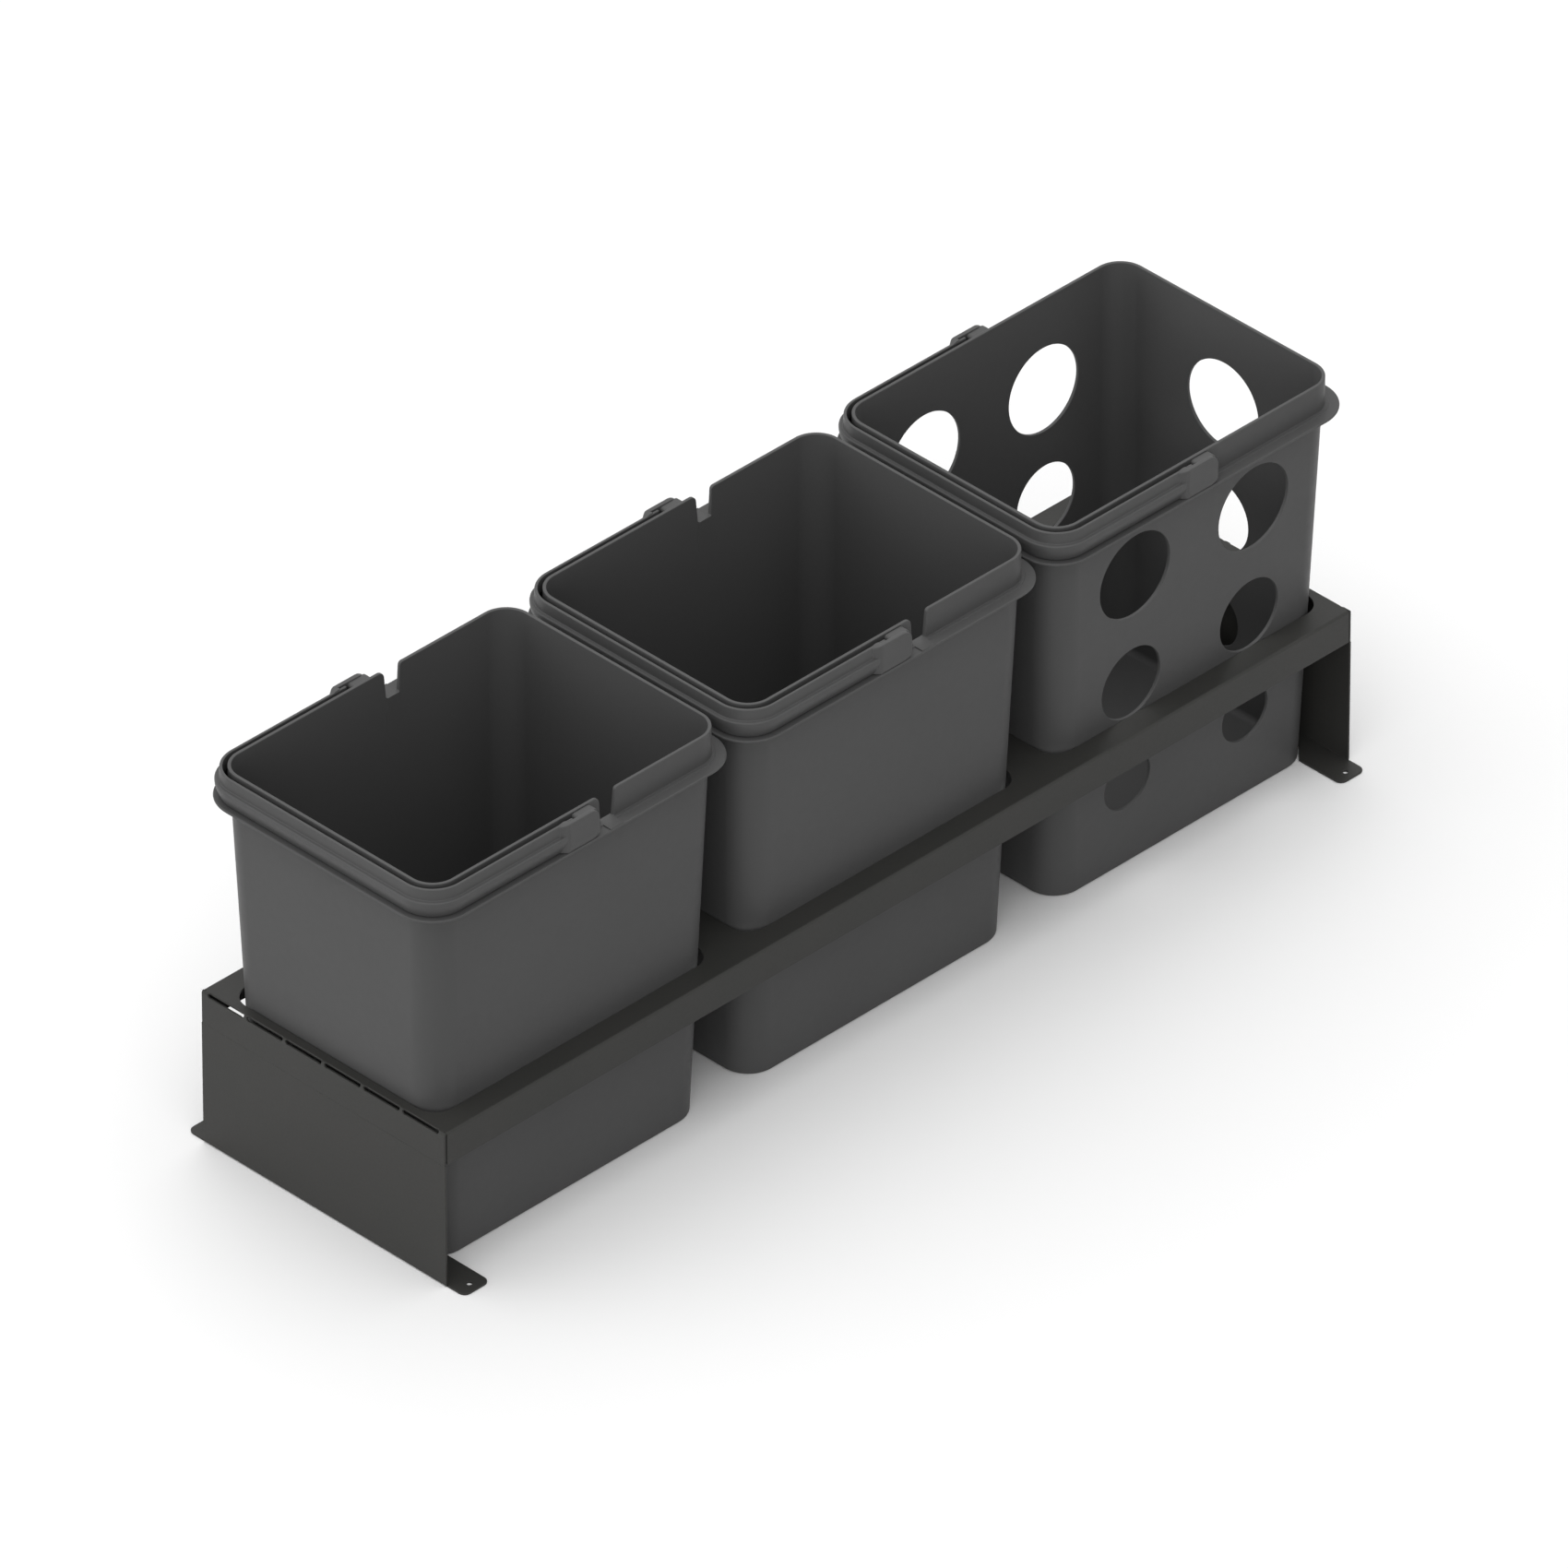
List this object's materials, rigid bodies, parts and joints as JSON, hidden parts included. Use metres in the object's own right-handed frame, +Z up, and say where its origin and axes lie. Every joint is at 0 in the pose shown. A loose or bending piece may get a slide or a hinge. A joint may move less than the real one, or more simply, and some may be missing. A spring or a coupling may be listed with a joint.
{
  "type": "waste sorting bin",
  "caption": "Row of lift-out waste tubs with bail handles, held upright by a low folded sheet frame with screw ears; one tub is perforated.",
  "frame": {"origin": "middle of the frame's footprint, on the ground", "axes": "+X along the row of tubs from the left one to the right one; +Y to the back; +Z up"},
  "size_m": [0.8734, 0.265, 0.3135],
  "materials": {
    "painted_steel": "fine powder coat, warm dark grey, satin",
    "tub_plastic": "moulded, finely textured, dark grey",
    "handle_plastic": "moulded, smooth satin, dark grey"
  },
  "bodies": {
    "frame": {"frame": "painted_steel"},
    "tub_left": {"tub_left": "tub_plastic"},
    "tub_middle": {"tub_middle": "tub_plastic"},
    "tub_right": {"tub_right": "tub_plastic"},
    "handle_left": {"handle_left": "handle_plastic"},
    "handle_middle": {"handle_middle": "handle_plastic"},
    "handle_right": {"handle_right": "handle_plastic"}
  },
  "joints": [
    {"name": "lift_tub_left", "type": "slide", "parent": "frame", "child": "tub_left", "axis": [0, 0, 1], "range_m": [0, 0.33]},
    {"name": "lift_tub_middle", "type": "slide", "parent": "frame", "child": "tub_middle", "axis": [0, 0, 1], "range_m": [0, 0.33]},
    {"name": "lift_tub_right", "type": "slide", "parent": "frame", "child": "tub_right", "axis": [0, 0, 1], "range_m": [0, 0.33]},
    {"name": "swing_handle_left", "type": "hinge", "parent": "tub_left", "child": "handle_left", "pos_m": [-0.28907, 0, 0.3044], "axis": [0, 1, 0], "range_deg": [0, 165]},
    {"name": "swing_handle_middle", "type": "hinge", "parent": "tub_middle", "child": "handle_middle", "pos_m": [0.0027, 0, 0.3044], "axis": [0, 1, 0], "range_deg": [0, 165]},
    {"name": "swing_handle_right", "type": "hinge", "parent": "tub_right", "child": "handle_right", "pos_m": [0.29447, 0, 0.3044], "axis": [0, 1, 0], "range_deg": [0, 165]}
  ]
}
